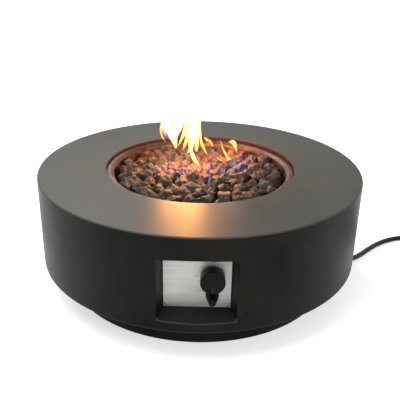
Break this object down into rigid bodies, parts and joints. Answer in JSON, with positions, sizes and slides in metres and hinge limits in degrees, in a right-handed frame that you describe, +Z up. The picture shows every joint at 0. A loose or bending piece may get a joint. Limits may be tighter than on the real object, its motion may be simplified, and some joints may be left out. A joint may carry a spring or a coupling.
{
  "type": "concrete fire pit table",
  "caption": "Round low gas fire pit table in dark concrete, with a rock-filled burner pan, a recessed control panel with a push-and-turn knob and igniter button, and a gas hose.",
  "frame": {"origin": "on the floor under the middle of the round table, without the hose outside it", "axes": "+Z up, -Y towards the front with the control pocket, +X to the right seen from the front"},
  "size_m": [1.125, 0.68, 0.25],
  "materials": {
    "concrete": "dark cast concrete, satin sealer",
    "rubber": "black moulded rubber",
    "zinc_steel": "zinc plated steel",
    "stainless": "brushed stainless steel",
    "heat_steel": "heat-tinted stainless steel",
    "brass": "machined brass",
    "black_plastic": "black moulded plastic",
    "spring_steel": "spring steel",
    "lava_rock": "rough porous lava rock",
    "ceramic": "glazed ceramic",
    "aluminium": "bent aluminium tube",
    "wire_insulation": "silicone wire insulation",
    "copper": "copper capillary",
    "hose_rubber": "black gas hose, smooth rubber",
    "zinc_casting": "die-cast zinc",
    "tie_fabric": "hook-and-loop tape"
  },
  "bodies": {
    "table": {"table_body": "concrete", "base_plinth": "concrete", "foot_pads": "rubber", "plinth_bolts": "zinc_steel", "plinth_washers": "zinc_steel", "control_plate": "stainless", "plate_screws": "stainless", "valve_body": "brass", "valve_bonnet": "brass", "valve_screws": "zinc_steel", "valve_spring": "spring_steel", "igniter_housing": "black_plastic", "igniter_nut": "zinc_steel", "igniter_spring": "spring_steel", "igniter_terminal": "brass", "burner_pan": "heat_steel", "ring_burner": "heat_steel", "burner_nut": "zinc_steel", "air_mixer": "zinc_steel", "gas_jet": "brass", "gas_tube": "aluminium", "outlet_nut": "brass", "jet_nut": "brass", "pilot_bracket": "heat_steel", "pilot_guard": "stainless", "electrode_ceramic": "ceramic", "spark_electrode": "stainless", "thermocouple": "copper", "ignition_wire": "wire_insulation", "thermocouple_lead": "copper", "lava_rocks_upper": "lava_rock", "lava_rocks_lower": "lava_rock", "inlet_fitting": "brass", "inner_hose": "hose_rubber", "hose_grommet": "rubber", "gas_hose_run": "hose_rubber", "gas_hose_coil": "hose_rubber", "hose_tie": "tie_fabric", "hose_ferrule": "brass", "regulator_body": "zinc_casting", "regulator_cover": "zinc_casting", "regulator_screws": "zinc_steel", "regulator_vent": "black_plastic", "inlet_nipple": "brass"},
    "knob_plunger": {"valve_plunger": "brass"},
    "knob": {"control_knob": "black_plastic", "knob_pointer": "black_plastic", "valve_stem": "brass"},
    "igniter_push": {"igniter_button": "black_plastic"},
    "nut": {"hand_nut": "black_plastic"}
  },
  "joints": [
    {"name": "knob_push", "type": "slide", "parent": "table", "child": "knob_plunger", "axis": [0, 1, 0], "range_m": [0, 0.004], "stiffness_N_per_m": 600, "springref_m": -0.004, "deforming": ["valve_spring"]},
    {"name": "knob_turn", "type": "hinge", "parent": "knob_plunger", "child": "knob", "pos_m": [0.027, -0.32, 0.155], "axis": [0, -1, 0], "range_deg": [-180, 0]},
    {"name": "igniter_press", "type": "slide", "parent": "table", "child": "igniter_push", "axis": [0, 1, 0], "range_m": [0, 0.004], "stiffness_N_per_m": 500, "springref_m": -0.003, "deforming": ["igniter_spring"]},
    {"name": "hand_nut_spin", "type": "hinge", "parent": "table", "child": "nut", "pos_m": [0.77, 0.1482, 0.0204], "axis": [1, 0, 0], "continuous": true}
  ]
}
